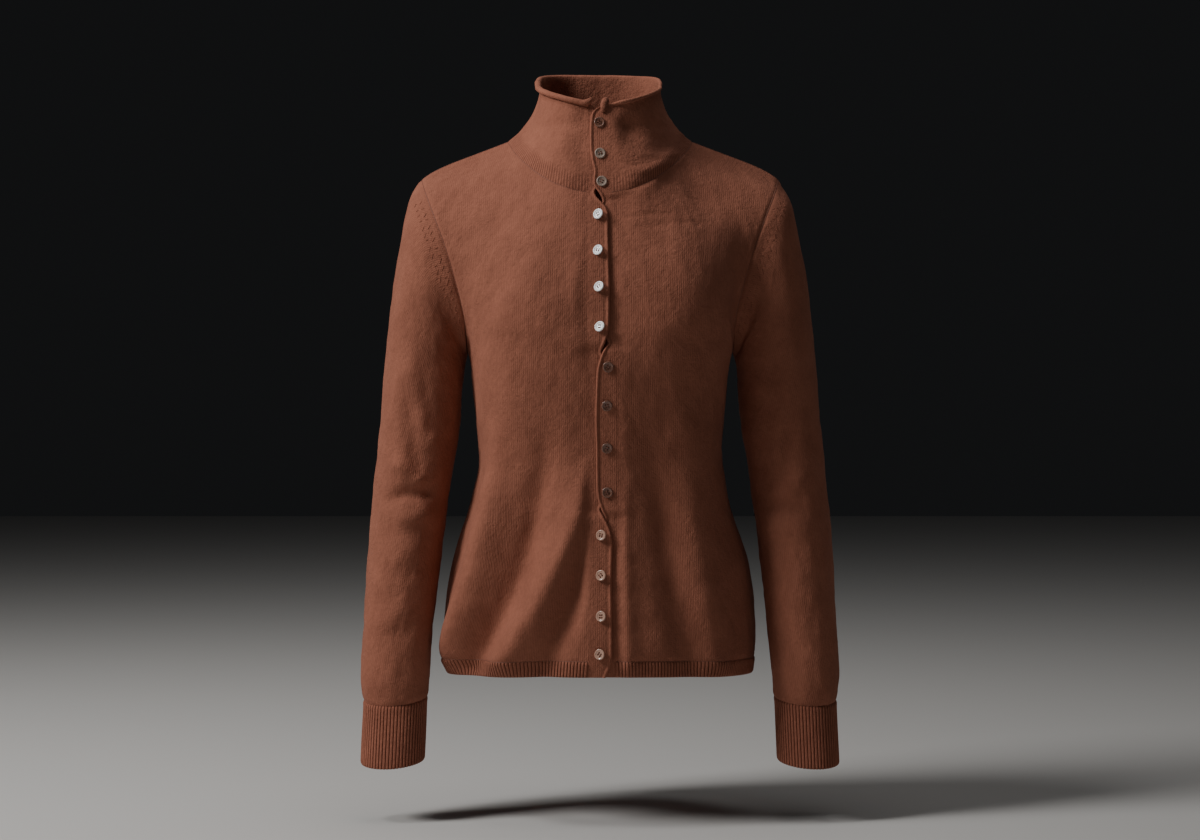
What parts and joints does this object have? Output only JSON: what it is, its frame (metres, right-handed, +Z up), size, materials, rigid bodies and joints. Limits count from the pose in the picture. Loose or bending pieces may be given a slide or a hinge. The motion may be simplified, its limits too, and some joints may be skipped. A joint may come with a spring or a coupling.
{
  "type": "mock neck cardigan",
  "caption": "Fine-knit cardigan with a high mock neck, long set-in sleeves and a full button placket, hollow as if worn, with ribbed cuffs and hem.",
  "frame": {"origin": "between the shoulders, level with the high point of the shoulder, where a wearer's shoulders hold the garment up", "axes": "+Z up along the body, -Y out of the buttoned front, +X towards the wearer's left"},
  "size_m": [0.508, 0.2416, 0.7427],
  "materials": {
    "jersey_knit": "matte fine jersey",
    "rib_knit": "matte rib knit",
    "band_knit": "matte double knit",
    "button_shell": "polished, shell-like"
  },
  "bodies": {
    "root": {"front_right": "jersey_knit", "front_left": "jersey_knit", "back": "jersey_knit", "sleeve_right": "jersey_knit", "sleeve_left": "jersey_knit", "collar": "jersey_knit", "cuff_right": "rib_knit", "cuff_left": "rib_knit", "hem_rib_back": "rib_knit", "hem_rib_front_right": "rib_knit", "hem_rib_front_left": "rib_knit", "band_right": "band_knit", "band_left": "band_knit", "button_01": "button_shell", "button_02": "button_shell", "button_03": "button_shell", "button_04": "button_shell", "button_05": "button_shell", "button_06": "button_shell", "button_07": "button_shell", "button_08": "button_shell", "button_09": "button_shell", "button_10": "button_shell", "button_11": "button_shell", "button_12": "button_shell", "button_13": "button_shell", "button_14": "button_shell", "button_15": "button_shell"}
  },
  "joints": []
}
